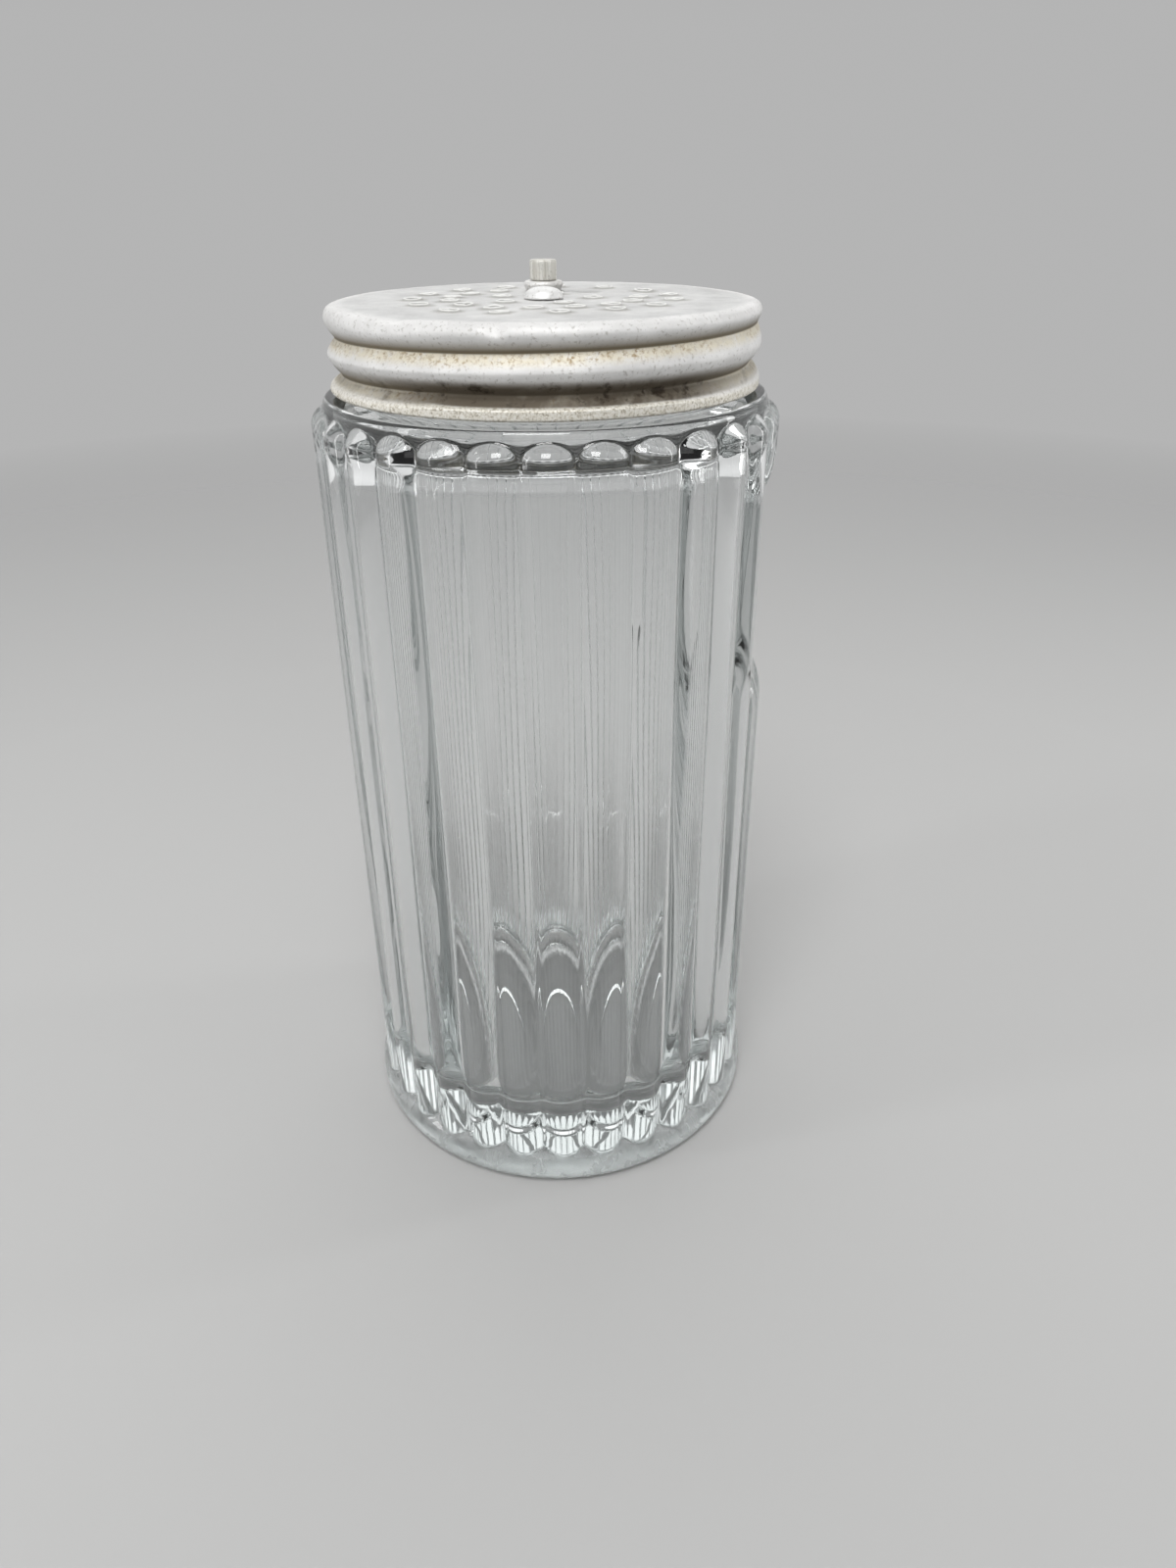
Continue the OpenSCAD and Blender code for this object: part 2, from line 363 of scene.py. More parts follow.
def outer_rows():
    """Half-section points of the outside, from the middle of the base to the lip."""
    rows = [(r, BASE_RISE) for r in (6, 12, BASE_RING - BASE_RING_HALF)]
    for u in np.linspace(-0.75, 1, 8):
        rows.append((BASE_RING + BASE_RING_HALF * u, BASE_RISE * (1 - float(smooth_step(u, -1, 1)))))
    rows += [(r, 0.0) for r in (26, 34, FOOT_R - FOOT_EDGE)]
    rows += arc((FOOT_R - FOOT_EDGE, FOOT_EDGE), FOOT_EDGE, -90, 0, 8)[1:]
    rows += arc((FOOT_R - FOOT_BROW, FOOT_BROW_Z), FOOT_BROW, 0, 60, 10)
    for low, high, steps in WALL_ROWS:
        rows += [(CORE_R, z) for z in np.linspace(low, high, steps + 1)]
    shoulder_end = LEDGE_Z - LEDGE_EDGE
    for z in np.linspace(SHOULDER_Z + 0.25, shoulder_end, 16):
        lean = (z - SHOULDER_Z) / (shoulder_end - SHOULDER_Z)
        rows.append((CORE_R - (CORE_R - LEDGE_R) * lean, z))
    rows += arc((LEDGE_R - LEDGE_EDGE, LEDGE_Z - LEDGE_EDGE), LEDGE_EDGE, 15, 90, 6)
    rows += [(r, LEDGE_Z) for r in (34.6, 33.8)]
    rows += arc((NECK_R + NECK_FILLET, LEDGE_Z + NECK_FILLET), NECK_FILLET, -90, -180, 5)
    rows += [(NECK_R, z) for z in np.linspace(LEDGE_Z + 1.1, NECK_TOP - 1.3, 40)]
    rows += arc((NECK_R - LIP_R, NECK_TOP - LIP_R), LIP_R, 0, 90, 7)
    return rows


def inner_rows():
    """Half-section points of the inside, from the lip to the middle of the bottom."""
    low_r, top_r = INSIDE_LOW_R, INSIDE_TOP_R
    meet = math.degrees(math.acos((MOUTH_R - INSIDE_R + top_r) / top_r))
    rows = arc((MOUTH_R + LIP_R, NECK_TOP - LIP_R), LIP_R, 90, 180, 7)
    rows += [(MOUTH_R, z) for z in np.linspace(NECK_TOP - 1.8, INSIDE_TOP + 1, 10)]
    rows += arc((INSIDE_R - top_r, INSIDE_TOP - top_r), top_r, meet, 0, 10)
    rows += [(INSIDE_R, z) for z in np.linspace(INSIDE_TOP - top_r - 1, BASE_T + low_r + 1, 56)]
    rows += arc((INSIDE_R - low_r, BASE_T + low_r), low_r, 0, -90, 14)
    flat_r = INSIDE_R - low_r
    rows += [(flat_r * share, BASE_T + BASE_CROWN * (1 - share)) for share in (0.8, 0.55, 0.3)]
    return rows


def make_jar():
    """Closed glass mesh: ribbed outside with foot, panel, ledge and threaded neck, and an uneven inside."""
    rings = []
    for r, z in outer_rows():
        radii = np.full(JAR_COLUMNS, float(r))
        if RIB_LOW < z < LEDGE_Z - 0.8:
            radii = ribbed(r, z)
        if LEDGE_Z + 1 < z < NECK_TOP - LIP_R:
            radii = radii + thread_height(z)
        rings.append(ring_points(radii, z, jar_theta))
    for r, z in inner_rows():
        inside = smooth_step(z, BASE_T - 1, BASE_T + 12) * (1 - smooth_step(z, LEDGE_Z - 12, LEDGE_Z - 5))
        radii = r + inside * wave(z)
        rings.append(ring_points(radii, z, jar_theta))
    bm = bmesh.new()
    skin_rings(bm, rings, (0, 0, BASE_RISE), (0, 0, BASE_T + BASE_CROWN))
    smooth_by_angle(bm, 60)
    jar = add_piece("jar_glass", bm, "jar", "glass_jar")
    place = vertex_places(jar)
    radius = np.hypot(place[:, 0], place[:, 1])
    worn = (1 - smooth_step(place[:, 2], *WORN_Z)) * smooth_step(radius, *WORN_R)
    store_marks(jar, {"worn": worn})
    return jar


# Lid
lid_theta = np.linspace(0, 2 * math.pi, LID_COLUMNS, endpoint=False)
lid_bead_r = LID_R - LID_EDGE_R


def groove_at(theta, z):
    """Depth of the rolled groove at one height, and closeness to its upper and lower slope, per column."""
    azimuth = np.degrees(theta) % 360
    stops, heights, depths = np.array(GROOVE_PATH).T
    depth, upper, lower = (np.zeros_like(theta) for _ in range(3))
    for turn in range(-1, 3):
        along = azimuth + 360 * turn - GROOVE_START
        above = (z - LID_RIM - np.interp(along, stops, heights)) / (PITCH / 2)
        # The low end has a longer upper slope
        above = np.where(above > 0, above * np.interp(along, (120, 170), (0.8, 1)), above)
        off = np.clip(np.sqrt(above**2 + GROOVE_ROUND), 0, 1)
        full = np.interp(along, stops, depths)
        slope = 1 - np.sin(0.5 * math.pi * off)
        depth = np.maximum(depth, full * slope)
        share = np.clip(full, 0, 1) * slope
        over = smooth_step(above, -GROOVE_MIDDLE, GROOVE_MIDDLE)
        upper = np.maximum(upper, share * over)
        lower = np.maximum(lower, share * (1 - over))
    edges, lows, rises = np.array(HEM).T
    low = LID_RIM + np.interp(azimuth, edges, lows)
    fade = smooth_step(z, low, low + np.interp(azimuth, edges, rises))
    fade = fade * (1 - smooth_step(z, LID_TOP - 2.0, LID_TOP - 0.4))
    return depth * fade, upper * fade, lower * fade


def dented(point):
    """A point of the lid moved by the small dents."""
    moved = Vector(point)
    for center, push, reach, depth in DENTS:
        away = (Vector(point) - Vector(center)).length
        moved += Vector(push).normalized() * depth * math.exp(-((away / reach) ** 2))
    return moved


def hole_list():
    """Centres of the pouring holes; the middle ring leaves the knob's path blank."""
    centers = []
    for ring, (radius, count, turn) in enumerate(RINGS):
        for k in range(count):
            azimuth = turn + 360 * k / count
            if ring != 1 or not BLANK[0] < azimuth < BLANK[1]:
                centers.append(polar(radius, azimuth))
    return centers


def slot_outline(half, steps=28):
    """Outline of the knob's curved slot with a half round at each end."""
    first, last = KNOB_AZIMUTH - SWING, KNOB_AZIMUTH
    points = [polar(KNOB_R + half, a) for a in np.linspace(first, last, steps)]
    tip = polar(KNOB_R, last)
    points += [tip + polar(half, a) for a in np.linspace(last, last + 180, SLOT_END_STEPS)[1:-1]]
    points += [polar(KNOB_R - half, a) for a in np.linspace(last, first, steps)]
    tip = polar(KNOB_R, first)
    points += [tip + polar(half, a) for a in np.linspace(first + 180, first + 360, SLOT_END_STEPS)[1:-1]]
    return points


def circle_outline(center, r, count):
    """Outline of a circle, from its +X side on."""
    return [center + polar(r, 360 * k / count) for k in range(count)]


def inside_outline(point, outline):
    """Whether a point lies inside a closed outline."""
    crossings = False
    for a, b in zip(outline, outline[1:] + outline[:1]):
        if (a.y > point.y) != (b.y > point.y):
            if point.x < (b.x - a.x) * (point.y - a.y) / (b.y - a.y) + a.x:
                crossings = not crossings
    return crossings


def clear_of(point, outline):
    """Whether a point lies outside an outline and not close to its corners."""
    return not inside_outline(point, outline) and min((p - point).length for p in outline) >= PLATE_CLEAR


def plate(bm, z, rim, cutouts):
    """Triangulated plate with cut-outs at one height; returns the vertices of its rim and cut-outs."""
    points = []
    edges = []
    loops = []
    for outline in [rim] + cutouts:
        indices = list(range(len(points), len(points) + len(outline)))
        points += outline
        loops.append(indices)
        edges += list(zip(indices, indices[1:] + indices[:1]))
    for k in range(2, int(rim[0].length / PLATE_STEP)):
        count = int(2 * math.pi * k)
        for j in range(count):
            point = polar(k * PLATE_STEP, 360 * (j + 0.5 * (k % 2)) / count)
            if all(clear_of(point, c) for c in cutouts):
                points.append(point)
    flat, _, faces, vert_ids, _, _ = delaunay_2d_cdt(points, edges, [], 0, 1e-5)
    verts = [bm.verts.new((p.x, p.y, z)) for p in flat]
    place = {source: k for k, sources in enumerate(vert_ids) for source in sources}
    for face in faces:
        middle = sum((flat[k] for k in face), Vector((0, 0))) / 3
        if not any(inside_outline(middle, c) for c in cutouts):
            bm.faces.new([verts[k] for k in face])
    unused = [v for v in verts if not v.link_faces]
    found = [[verts[place[k]] for k in loop] for loop in loops]
    for vert in unused:
        bm.verts.remove(vert)
    return found


def lid_side():
    """Rings down the outside of the lid, round its rim and up the inside."""
    outside = arc((lid_bead_r, LID_TOP - LID_EDGE_R), LID_EDGE_R, 90, 0, 10)[1:]
    outside += [(LID_R, z) for z in np.linspace(LID_TOP - LID_EDGE_R - 0.3, LID_RIM + 0.35, 76)]
    hem = arc((LID_R - LID_SHEET / 2, LID_RIM + LID_SHEET / 2), LID_SHEET / 2, 0, -180, 6)[1:]
    inner_r = LID_EDGE_R - LID_SHEET
    inside_z = np.linspace(LID_RIM + 0.8, LID_TOP - LID_EDGE_R - 0.3, 30)
    inside = [(LID_R - LID_SHEET, z) for z in inside_z]
    inside += arc((lid_bead_r, LID_TOP - LID_EDGE_R), inner_r, 0, 90, 6)[:-1]
    rings = []
    for r, z in outside + hem + inside:
        depth, _, _ = groove_at(lid_theta, z)
        rings.append(ring_points(r - depth, z, lid_theta))
    return rings


def add_burr(bm, center, number, row, hole):
    """Torn burr round a hole, from a row of the plate's vertices to the hole's lower edge."""
    torn = [
        0.95 + 0.4 * noise.noise(Vector((1.4 * math.cos(a), 1.4 * math.sin(a), number * 1.7)))
        for a in np.radians(np.arange(BURR_SIDES) * 360 / BURR_SIDES)
    ]
    for r, lift in BURR_ROWS:
        outline = circle_outline(center, r, BURR_SIDES)
        heights = [LID_TOP + BURR_H * lift * t for t in torn]
        ring = [bm.verts.new((p.x, p.y, h)) for p, h in zip(outline, heights)]
        bridge(bm, row, ring)
        row = ring
    bridge(bm, row, hole)


def make_lid():
    """Closed sheet-metal lid: flat top with burred holes and a slot, rolled thread, hemmed rim."""
    bm = bmesh.new()
    under_z = LID_TOP - LID_SHEET
    middle = Vector((0, 0))
    rim = circle_outline(middle, lid_bead_r, LID_COLUMNS)
    centers = hole_list()
    top_cuts = [slot_outline(SLOT_HALF + SLOT_EDGE), circle_outline(middle, PIVOT_R, PIVOT_SIDES)]
    top_cuts += [circle_outline(c, BURR_R, BURR_SIDES) for c in centers]
    low_cuts = [slot_outline(SLOT_HALF), circle_outline(middle, PIVOT_R, PIVOT_SIDES)]
    low_cuts += [circle_outline(c, HOLE_R, BURR_SIDES) for c in centers]
    top_rim, top_slot, top_pivot, *top_holes = plate(bm, LID_TOP, rim, top_cuts)
    low_rim, low_slot, low_pivot, *low_holes = plate(bm, under_z, rim, low_cuts)

    side = skin_rings(bm, lid_side())
    bridge(bm, top_rim, side[0])
    bridge(bm, low_rim, side[-1])
    edge = [bm.verts.new((p.x, p.y, LID_TOP - 0.2)) for p in slot_outline(SLOT_HALF)]
    bridge(bm, top_slot, edge)
    bridge(bm, edge, low_slot)
    bridge(bm, top_pivot, low_pivot)
    for number, center in enumerate(centers):
        add_burr(bm, center, number, top_holes[number], low_holes[number])

    for vert in bm.verts:
        if vert.co.z > under_z + 0.05 or vert.co.xy.length > lid_bead_r + 0.1:
            uneven = 0.09 * noise.noise(vert.co * 0.09) + 0.03 * noise.noise(vert.co * 0.4)
            flat = smooth_step(vert.co.z, LID_TOP - 0.6, LID_TOP - 0.1)
            vert.co = dented(vert.co) + Vector((0, 0, float(flat) * (uneven - 0.1)))
    smooth_by_angle(bm, 40)
    lid = add_piece("lid_cap", bm, "lid", "lid_shell")
    mark_lid(lid)
    return lid


def mark_lid(lid):
    """Stores where the colour changes: dirt and painted shade in the groove, a speckled band on the hem, a
    grey tone partly painted shade on the flat top, and a painted highlight and painted shade round and in
    the holes.
    """
    place = vertex_places(lid)
    theta = np.arctan2(place[:, 1], place[:, 0])
    radius = np.hypot(place[:, 0], place[:, 1])
    height = place[:, 2] - LID_RIM
    azimuth = np.degrees(theta) % 360
    _, upper, lower = groove_at(theta, place[:, 2])
    front = smooth_step(azimuth, 215, 250) * (1 - smooth_step(azimuth, 300, 335))
    # Soot and painted shade: darker in the low groove under the second bead, most at the front
    soot_and_shade = smooth_step(height, 1.5, 1.85) * (1 - smooth_step(height, 4.2, 5.8)) * (0.25 + 0.75 * front)
    soot_and_shade *= smooth_step(upper + lower, 0.08, 0.3)
    hem_top = np.interp(azimuth, *np.array(HEM).T[:2]) + 0.25
    band = 1 - smooth_step(height, hem_top, hem_top + 0.3 + 1.2 * (1 - front))
    band *= smooth_step(radius, 33.5, 34.5)
    # The flat top gets a mottled grey tone that is partly painted shade
    top = smooth_step(place[:, 2], LID_TOP - 0.8, LID_TOP - 0.25)
    top = top * (1 - smooth_step(radius, lid_bead_r - 1.5, lid_bead_r + 0.5))
    # Round the holes: a painted highlight on the burr lips, dirt and painted shade at their foot, painted
    # shade in the bores
    away = np.full(len(place), LID_R)
    for center in hole_list():
        away = np.minimum(away, np.hypot(place[:, 0] - center.x, place[:, 1] - center.y))
    outer = smooth_step(away, *BURR_CREST)
    fold = top * outer * (1 - smooth_step(away, BURR_R, BURR_R + 0.2))
    bore = (away < HOLE_R + 0.02) * (1 - smooth_step(place[:, 2], LID_TOP - 0.6, LID_TOP - 0.2))
    # Of these marks, under is painted shade, top a grey tone partly painted shade, lip a painted highlight,
    # fold dirt and painted shade, bore painted shade
    store_marks(lid, {
        "soot_and_shade": soot_and_shade, "under": upper, "slope": lower, "band": band,
        "top": top, "lip": top * (1 - outer), "fold": fold, "bore": bore,
    })


# Rivet and knob
def lathe(bm, center, profile, columns, ripple=0.0, ripples=0):
    """Turned piece about an upright axis; each point has a radius, a height and a share of the ripple."""
    theta = np.linspace(0, 2 * math.pi, columns, endpoint=False)
    rings = []
    for r, z, rippled in profile:
        radii = r + rippled * ripple * np.cos(ripples * theta)
        points = ring_points(radii, z, theta)
        points[:, :2] += center
        rings.append(points)
    first = (center[0], center[1], profile[0][1])
    last = (center[0], center[1], profile[-1][1])
    skin_rings(bm, rings, first, last)


def make_rivet():
    """Pivot rivet: hammered dome over a thin lip, shank and clinched tail."""
    bm = bmesh.new()
    dome_r = rivet_high.x
    low_z = rivet_low.z
    profile = [(2.2, low_z, 0), (2.6, low_z + 0.1, 0), (2.8, low_z + 0.45, 0), (2.65, low_z + 0.9, 0)]
    profile += [(1.6, low_z + 1.0, 0), (1.6, LID_TOP + 0.02, 0)]
    profile += [(dome_r - 0.12, LID_TOP + 0.02, 0), (dome_r, LID_TOP + 0.14, 0)]
    profile.append((dome_r - 0.05, LID_TOP + 0.3, 0))
    height = rivet_high.z - LID_TOP - 0.3
    for a in np.radians(np.linspace(6, 84, 14)):
        profile.append(((dome_r - 0.12) * math.cos(a) ** 0.9, LID_TOP + 0.3 + height * math.sin(a), 0))
    lathe(bm, (0, 0), profile, 72)
    for vert in bm.verts:
        if vert.co.z > LID_TOP + 0.25:
            vert.co += 0.05 * noise.noise(vert.co * 0.9) * vert.co.normalized()
    smooth_by_angle(bm, 40)
    return add_piece("rivet_dome", bm, "rivet", "pivot_rivet")


def knob_center():
    """Middle of the knob post in the XY plane."""
    return (0.5 * (post_low.x + post_high.x), 0.5 * (post_low.y + post_high.y))


def make_post():
    """Knob post with fine upright flutes, a chamfered flat top, its shank and its clinched tail."""
    bm = bmesh.new()
    top = post_high.z
    foot = collar_high.z
    tail = post_low.z
    profile = [(2.0, tail, 0), (2.3, tail + 0.15, 0), (2.4, tail + 0.5, 0), (2.25, tail + 0.85, 0)]
    profile += [(1.5, tail + 0.9, 0), (1.5, foot + 0.02, 0)]
    profile += [(POST_R - 0.12, foot + 0.02, 0), (POST_R, foot + 0.16, 1)]
    profile += [(POST_R, z, 1) for z in np.linspace(foot + 0.4, top - 0.35, 8)]
    profile += [(POST_R - 0.05, top - 0.15, 0.5), (POST_R - 0.22, top - 0.02, 0)]
    profile += [(POST_R - 0.6, top, 0), (0.8, top - 0.03, 0)]
    lathe(bm, knob_center(), profile, 180, FLUTE_H, FLUTES)
    smooth_by_angle(bm, 40)
    return add_piece("knob_pin", bm, "shutter", "knob_post")


def make_collar():
    """Rough collar under the post, with a soft shoulder and a worn waist."""
    bm = bmesh.new()
    low, high = collar_low.z, collar_high.z
    big = 0.5 * (collar_high.x - collar_low.x)
    theta = np.linspace(0, 2 * math.pi, 120, endpoint=False)
    profile = [(1.52, low + 0.02), (big - 0.55, low + 0.02)]
    profile += [(big - 0.35, low + 0.12), (big - 0.28, low + 0.45)]
    profile += arc((big - 0.55, high - 0.6), 0.55, -50, 90, 11)
    profile += [(2.5, high - 0.05), (1.52, high - 0.05)]
    rings = []
    for r, z in profile:
        points = ring_points(np.full_like(theta, r), z, theta)
        points[:, :2] += knob_center()
        rings.append(points)
    rows = skin_rings(bm, rings)
    bridge(bm, rows[-1], rows[0])
    for vert in bm.verts:
        if low + 0.1 < vert.co.z < high - 0.06:
            vert.co += 0.06 * noise.noise_vector(vert.co * 1.3) + 0.03 * noise.noise_vector(vert.co * 3.5)
    smooth_by_angle(bm, 50)
    return add_piece("knob_ring", bm, "shutter", "knob_collar")


# Materials
def new_material(name):
    """A material with its node tree and its shader."""
    material = bpy.data.materials.new(name)
    material.use_nodes = True
    tree = material.node_tree
    shader = tree.nodes["Principled BSDF"]
    return material, tree, shader


def add_node(tree, kind, **settings):
    """A shader node with its properties and unlinked inputs set by name."""
    node = tree.nodes.new(kind)
    for key, value in settings.items():
        if key in node.inputs:
            node.inputs[key].default_value = value
        else:
            setattr(node, key, value)
    return node


def noise_at(tree, scale, detail, rough, stretch=(1, 1, 1)):
    """Noise in the object's own space, with a stretch along its axes."""
    place = add_node(tree, "ShaderNodeTexCoord")
    mapping = add_node(tree, "ShaderNodeMapping")
    mapping.inputs["Scale"].default_value = stretch
    tree.links.new(place.outputs["Object"], mapping.inputs["Vector"])
    texture = add_node(tree, "ShaderNodeTexNoise", Scale=scale, Detail=detail, Roughness=rough)
    tree.links.new(mapping.outputs["Vector"], texture.inputs["Vector"])
    return texture.outputs["Fac"]


def ramp(tree, source, stops):
    """Colour ramp over a value."""
    node = add_node(tree, "ShaderNodeValToRGB")
    while len(node.color_ramp.elements) < len(stops):
        node.color_ramp.elements.new(0.5)
    for element, (place, color) in zip(node.color_ramp.elements, stops):
        element.position = place
        element.color = (*color, 1)
    tree.links.new(source, node.inputs["Fac"])
    return node.outputs["Color"]


def level(tree, source, low, high):
    """A value stretched to 0..1 between two levels."""
    node = add_node(tree, "ShaderNodeMapRange")
    node.inputs["From Min"].default_value = low
    node.inputs["From Max"].default_value = high
    tree.links.new(source, node.inputs["Value"])
    return node.outputs["Result"]


def spread(tree, source, low, high):
    """A value of 0..1 stretched to a range."""
    node = add_node(tree, "ShaderNodeMapRange")
    node.inputs["To Min"].default_value = low
    node.inputs["To Max"].default_value = high
    tree.links.new(source, node.inputs["Value"])
    return node.outputs["Result"]


def times(tree, a, b):
    """Product of a value and a plain number or another value."""
    node = add_node(tree, "ShaderNodeMath", operation="MULTIPLY")
    tree.links.new(a, node.inputs[0])
    if isinstance(b, float):
        node.inputs[1].default_value = b
    else:
        tree.links.new(b, node.inputs[1])
    return node.outputs[0]


def larger(tree, a, b):
    """Larger of two values."""
    node = add_node(tree, "ShaderNodeMath", operation="MAXIMUM")
    tree.links.new(a, node.inputs[0])
    tree.links.new(b, node.inputs[1])
    return node.outputs[0]


def mix_color(tree, factor, a, b):
    """Mix of two colours; each is a socket or a plain colour."""
    node = add_node(tree, "ShaderNodeMix", data_type="RGBA")
    tree.links.new(factor, node.inputs["Factor"])
    for source, socket in ((a, node.inputs[6]), (b, node.inputs[7])):
        if isinstance(source, tuple):
            socket.default_value = (*source, 1)
        else:
            tree.links.new(source, socket)
    return node.outputs[2]


def add_bump(tree, shader, source, strength, distance):
    """Bump on a shader, over any bump that it has already."""
    node = add_node(tree, "ShaderNodeBump", Strength=strength, Distance=distance)
    tree.links.new(source, node.inputs["Height"])
    if shader.inputs["Normal"].links:
        tree.links.new(shader.inputs["Normal"].links[0].from_socket, node.inputs["Normal"])
    tree.links.new(node.outputs["Normal"], shader.inputs["Normal"])


def mark(tree, name):
    """A value stored on the vertices."""
    return add_node(tree, "ShaderNodeAttribute", attribute_name=name).outputs["Fac"]


def glass_material():
    """Clear pressed glass with a faint cool tint, slight waves, a few dull specks and a worn foot."""
    material, tree, shader = new_material("clear_pressed_glass")
    shader.inputs["Base Color"].default_value = (0.995, 1.0, 1.0, 1)
    shader.inputs["Transmission Weight"].default_value = 1.0
    shader.inputs["IOR"].default_value = 1.5
    depth = add_node(tree, "ShaderNodeVolumeAbsorption")
    depth.inputs["Color"].default_value = (0.60, 0.637, 0.632, 1)
    depth.inputs["Density"].default_value = 18.0
    tree.links.new(depth.outputs[0], tree.nodes["Material Output"].inputs["Volume"])
    film = level(tree, noise_at(tree, 90, 8, 0.7), 0.60, 0.80)
    scuffs = times(tree, mark(tree, "worn"), level(tree, noise_at(tree, 260, 6, 0.7), 0.20, 0.60))
    rough = larger(tree, times(tree, film, 0.10), times(tree, scuffs, 0.34))
    tree.links.new(rough, shader.inputs["Roughness"])
    add_bump(tree, shader, noise_at(tree, 60, 2, 0.5, (1, 1, 0.25)), 0.12, 0.001)
    return material


def aged_metal(name, clean, dull, rough_low, rough_high, metallic=0.82):
    """Satin metal with dull clouds, fine pits and an uneven gloss; its colour is still to be linked."""
    material, tree, shader = new_material(name)
    clouds = noise_at(tree, 140, 8, 0.65)
    color = ramp(tree, clouds, [(0.35, dull), (0.62, clean)])
    pits = level(tree, noise_at(tree, 1800, 4, 0.6), 0.57, 0.67)
    color = mix_color(tree, times(tree, pits, 0.5), color, (0.32, 0.30, 0.27))
    shader.inputs["Metallic"].default_value = metallic
    rough = spread(tree, noise_at(tree, 420, 5, 0.6), rough_low, rough_high)
    tree.links.new(rough, shader.inputs["Roughness"])
    add_bump(tree, shader, noise_at(tree, 900, 6, 0.7), 0.25, 0.0002)
    return material, tree, shader, color


def lid_material():
    """Old lid: grey top that is partly painted shade, bright rolled edges, brown dirt and painted shade in
    the groove, painted highlights on the burr lips, a speckled band at the rim.
    """
    material, tree, shader, color = aged_metal(
        "aged_lid_aluminium", (0.80, 0.795, 0.785), (0.69, 0.685, 0.675), 0.48, 0.68, 0.45
    )
    # Flat top in a mottled grey that is partly painted shade; burr lips with a painted highlight, dirt and
    # painted shade at their foot, painted shade in the bores
    grey = ramp(tree, noise_at(tree, 110, 9, 0.7), [
        (0.35, (0.46, 0.46, 0.455)), (0.7, (0.71, 0.71, 0.70))
    ])
    color = mix_color(tree, times(tree, mark(tree, "top"), 0.8), color, grey)
    # Painted highlight: near white on the burr lips
    color = mix_color(tree, mark(tree, "lip"), color, (0.90, 0.90, 0.88))
    # Dirt and painted shade: a darker ring at the foot of each burr
    color = mix_color(tree, times(tree, mark(tree, "fold"), 0.5), color, (0.24, 0.23, 0.20))
    # Painted shade: near black inside the bores of the holes
    color = mix_color(tree, level(tree, mark(tree, "bore"), 0.0, 0.4), color, (0.10, 0.09, 0.075))
    # Painted shade where the groove faces down under the bead above it; cream dirt and amber specks on the
    # groove's lower slope
    speck = level(tree, noise_at(tree, 1300, 6, 0.75), 0.50, 0.62)
    patch = level(tree, noise_at(tree, 70, 3, 0.6), 0.36, 0.66)
    # Painted shade: dark brown on the groove's upper slope, which faces down
    color = mix_color(tree, level(tree, mark(tree, "under"), 0.12, 0.75), color, (0.19, 0.16, 0.11))
    slope = level(tree, mark(tree, "slope"), 0.1, 0.5)
    cream = times(tree, slope, level(tree, noise_at(tree, 500, 5, 0.7), 0.25, 0.50))
    color = mix_color(tree, times(tree, cream, 0.6), color, (0.72, 0.65, 0.47))
    amber = times(tree, times(tree, slope, speck), patch)
    color = mix_color(tree, amber, color, (0.30, 0.19, 0.06))
    # Soot and painted shade in the low front of the groove, under the second bead
    soot_shade_mottle = level(tree, noise_at(tree, 120, 4, 0.6), 0.0, 0.45)
    color = mix_color(tree, times(tree, mark(tree, "soot_and_shade"), soot_shade_mottle), color, (0.11, 0.09, 0.065))
    dark = times(tree, mark(tree, "soot_and_shade"), level(tree, noise_at(tree, 260, 5, 0.7), 0.54, 0.64))
    color = mix_color(tree, dark, color, (0.03, 0.02, 0.01))
    # Speckled band at the rim
    grain = ramp(tree, noise_at(tree, 2200, 5, 0.8), [
        (0.38, (0.30, 0.26, 0.19)), (0.46, (0.70, 0.66, 0.56)), (0.58, (0.88, 0.86, 0.80))
    ])
    color = mix_color(tree, times(tree, mark(tree, "band"), 0.9), color, grain)
    tree.links.new(color, shader.inputs["Base Color"])
    add_bump(tree, shader, noise_at(tree, 2200, 5, 0.8), 0.3, 0.0003)
    return material


def plain_metal(name, clean, dull, rough_low, rough_high):
    """Aged metal with nothing on it."""
    material, tree, shader, color = aged_metal(name, clean, dull, rough_low, rough_high)
    tree.links.new(color, shader.inputs["Base Color"])
    return material


def post_material():
    """Greyer aluminium with upright streaks between the flutes."""
    material, tree, shader, color = aged_metal(
        "fluted_aluminium", (0.74, 0.735, 0.70), (0.62, 0.61, 0.57), 0.5, 0.65
    )
    streaks = level(tree, noise_at(tree, 1100, 3, 0.6, (1, 1, 0.06)), 0.42, 0.62)
    color = mix_color(tree, times(tree, streaks, 0.6), color, (0.46, 0.44, 0.39))
    tree.links.new(color, shader.inputs["Base Color"])
    return material


def floor_material():
    """Matt pale paper that fades into the studio far out."""
    material, tree, shader = new_material("pale_floor")
    shader.inputs["Base Color"].default_value = (0.52, 0.52, 0.515, 1)
    shader.inputs["Roughness"].default_value = 0.85
    place = add_node(tree, "ShaderNodeTexCoord")
    reach = add_node(tree, "ShaderNodeVectorMath", operation="LENGTH")
    tree.links.new(place.outputs["Object"], reach.inputs[0])
    clear = add_node(tree, "ShaderNodeBsdfTransparent")
    fade = add_node(tree, "ShaderNodeMixShader")
    tree.links.new(level(tree, reach.outputs["Value"], 0.25, 0.8), fade.inputs[0])
    tree.links.new(shader.outputs[0], fade.inputs[1])
    tree.links.new(clear.outputs[0], fade.inputs[2])
    tree.links.new(fade.outputs[0], tree.nodes["Material Output"].inputs["Surface"])
    return material


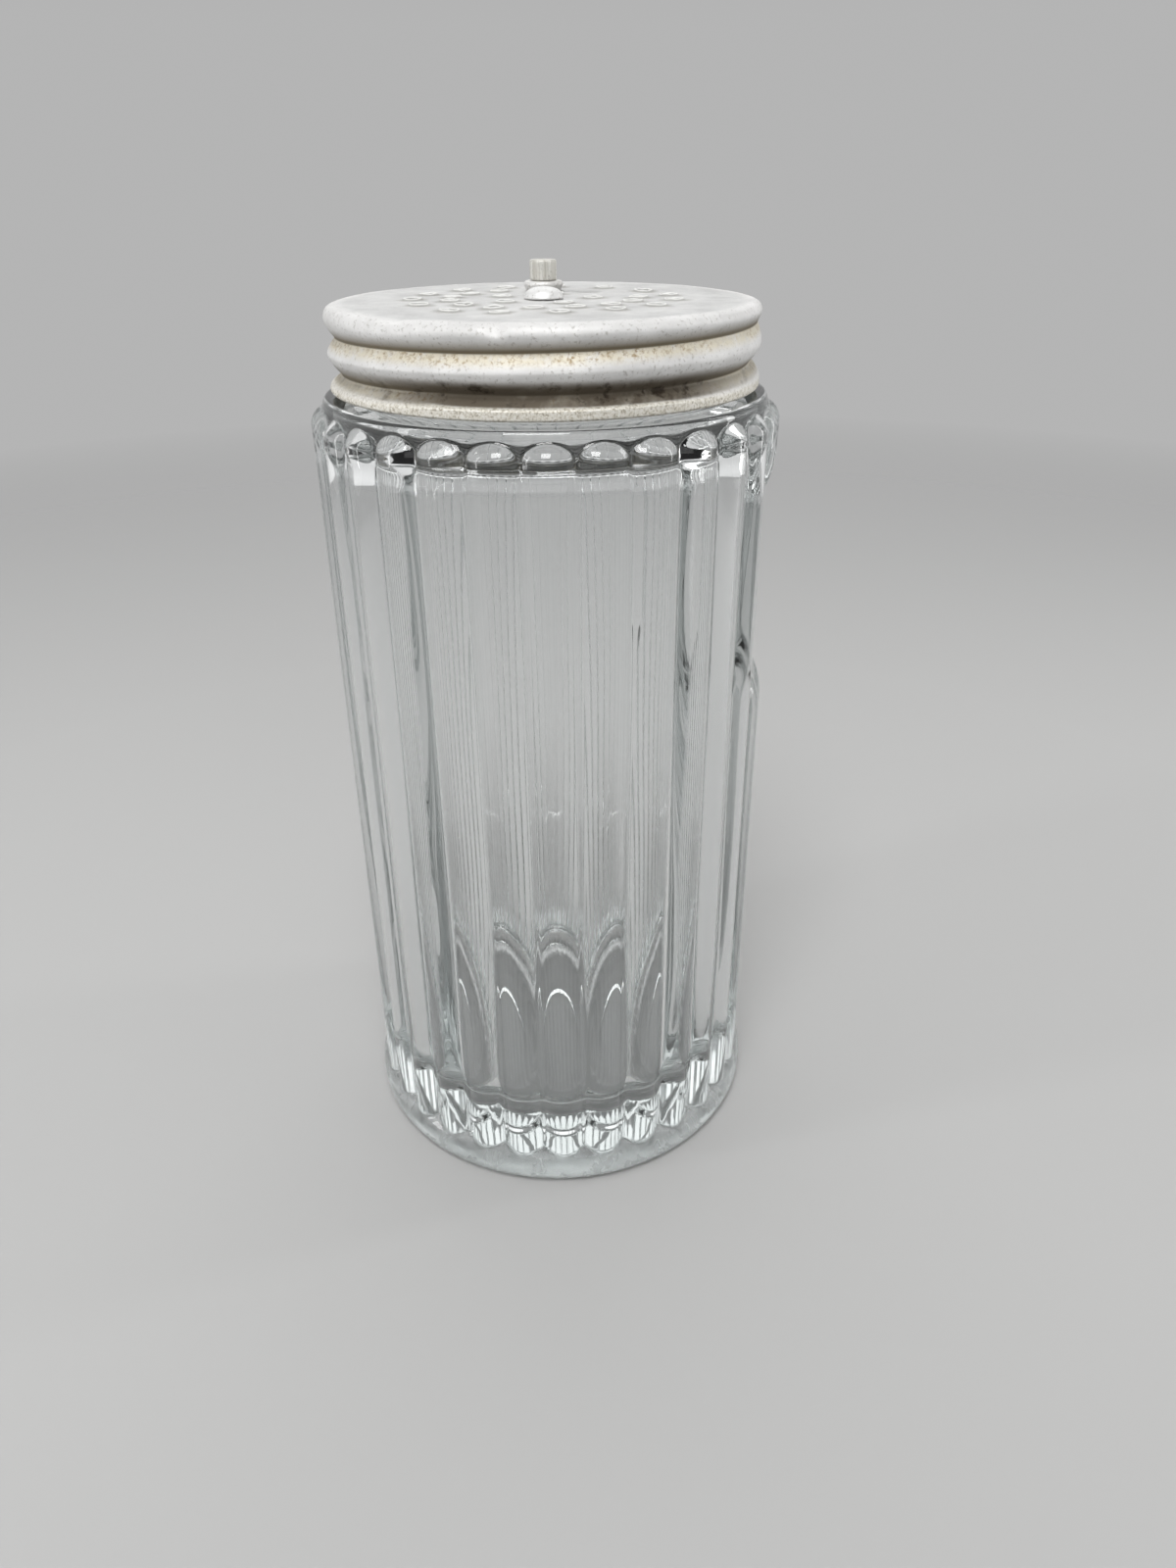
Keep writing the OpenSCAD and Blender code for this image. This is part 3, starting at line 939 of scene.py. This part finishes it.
# Stage, light and camera
def make_floor():
    """Wide floor that the shaker stands on."""
    bm = bmesh.new()
    corners = [(-1, -1), (1, -1), (1, 1), (-1, 1)]
    bm.faces.new([bm.verts.new((x * FLOOR_REACH, y * FLOOR_REACH, -FLOOR_GAP)) for x, y in corners])
    floor = link_mesh("floor", bm)
    floor.data.materials.append(floor_material())


def add_softbox(name, place, target, width, height, watts):
    """Rectangular soft light that faces a target; lengths in metres."""
    light = bpy.data.lights.new(name, "AREA")
    light.shape = "RECTANGLE"
    light.size = width
    light.size_y = height
    light.energy = watts
    lamp = bpy.data.objects.new(name, light)
    lamp.location = place
    lamp.visible_camera = False
    lamp.rotation_euler = (Vector(target) - Vector(place)).to_track_quat("-Z", "Y").to_euler()
    bpy.context.scene.collection.objects.link(lamp)


def make_world():
    """Pale studio, bright round the horizon and darker overhead; it lights matt surfaces less."""
    world = bpy.data.worlds.new("studio")
    bpy.context.scene.world = world
    world.use_nodes = True
    tree = world.node_tree
    background = tree.nodes["Background"]
    place = add_node(tree, "ShaderNodeTexCoord")
    split = add_node(tree, "ShaderNodeSeparateXYZ")
    tree.links.new(place.outputs["Generated"], split.inputs["Vector"])
    height = level(tree, split.outputs["Z"], 0.0, 1.0)
    color = ramp(tree, height, [(0.10, (PALE,) * 3), (0.45, (0.34,) * 3), (1.0, (0.26,) * 3)])
    tree.links.new(color, background.inputs["Color"])
    path = add_node(tree, "ShaderNodeLightPath")
    seen = path.outputs["Is Camera Ray"]
    for kind in ("Is Glossy Ray", "Is Transmission Ray"):
        seen = larger(tree, seen, path.outputs[kind])
    tree.links.new(spread(tree, seen, FILL, 1.0), background.inputs["Strength"])


def make_camera():
    """Camera close in front of the shaker and a little above its lid, as the photograph was taken."""
    pan, pitch, roll = (math.radians(a) for a in CAMERA_TURNS)
    ahead = math.cos(pitch)
    forward = Vector((math.sin(pan) * ahead, math.cos(pan) * ahead, -math.sin(pitch)))
    level_right = Vector((math.cos(pan), -math.sin(pan), 0))
    level_up = level_right.cross(forward)
    right = math.cos(roll) * level_right + math.sin(roll) * level_up
    up = -math.sin(roll) * level_right + math.cos(roll) * level_up
    data = bpy.data.cameras.new("camera")
    data.sensor_width = CAMERA_SENSOR
    data.sensor_fit = "AUTO"
    data.lens = CAMERA_LENS
    data.clip_start = 0.01
    data.clip_end = 50
    camera = bpy.data.objects.new("camera", data)
    turn = Matrix((right, up, -forward)).transposed().to_4x4()
    camera.matrix_world = Matrix.Translation(Vector(CAMERA_PLACE) * MM) @ turn
    bpy.context.scene.collection.objects.link(camera)
    bpy.context.scene.camera = camera


def dress(obj, material):
    """Gives an object one material."""
    obj.data.materials.clear()
    obj.data.materials.append(material)


make_camera()
dress(make_jar(), glass_material())
dress(make_lid(), lid_material())
bright = plain_metal("bright_aluminium", (0.84, 0.84, 0.83), (0.72, 0.72, 0.71), 0.50, 0.66)
dress(make_rivet(), bright)
dress(make_post(), post_material())
rough_metal = plain_metal("rough_aluminium", (0.80, 0.795, 0.78), (0.60, 0.59, 0.57), 0.45, 0.65)
dress(make_collar(), rough_metal)
dull_metal = plain_metal("shutter_aluminium", (0.50, 0.50, 0.49), (0.38, 0.38, 0.37), 0.35, 0.55)
dress(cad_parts["shutter_disc"], dull_metal)
steel = plain_metal("washer_steel", (0.58, 0.58, 0.58), (0.42, 0.42, 0.42), 0.3, 0.5)
dress(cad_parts["friction_washer"], steel)
make_floor()
make_world()
for lamp_row in LAMPS:
    add_softbox(*lamp_row)
cycles = bpy.context.scene.cycles
cycles.max_bounces = 24
cycles.transmission_bounces = 24
cycles.glossy_bounces = 12
bpy.context.scene.view_settings.view_transform = "Standard"
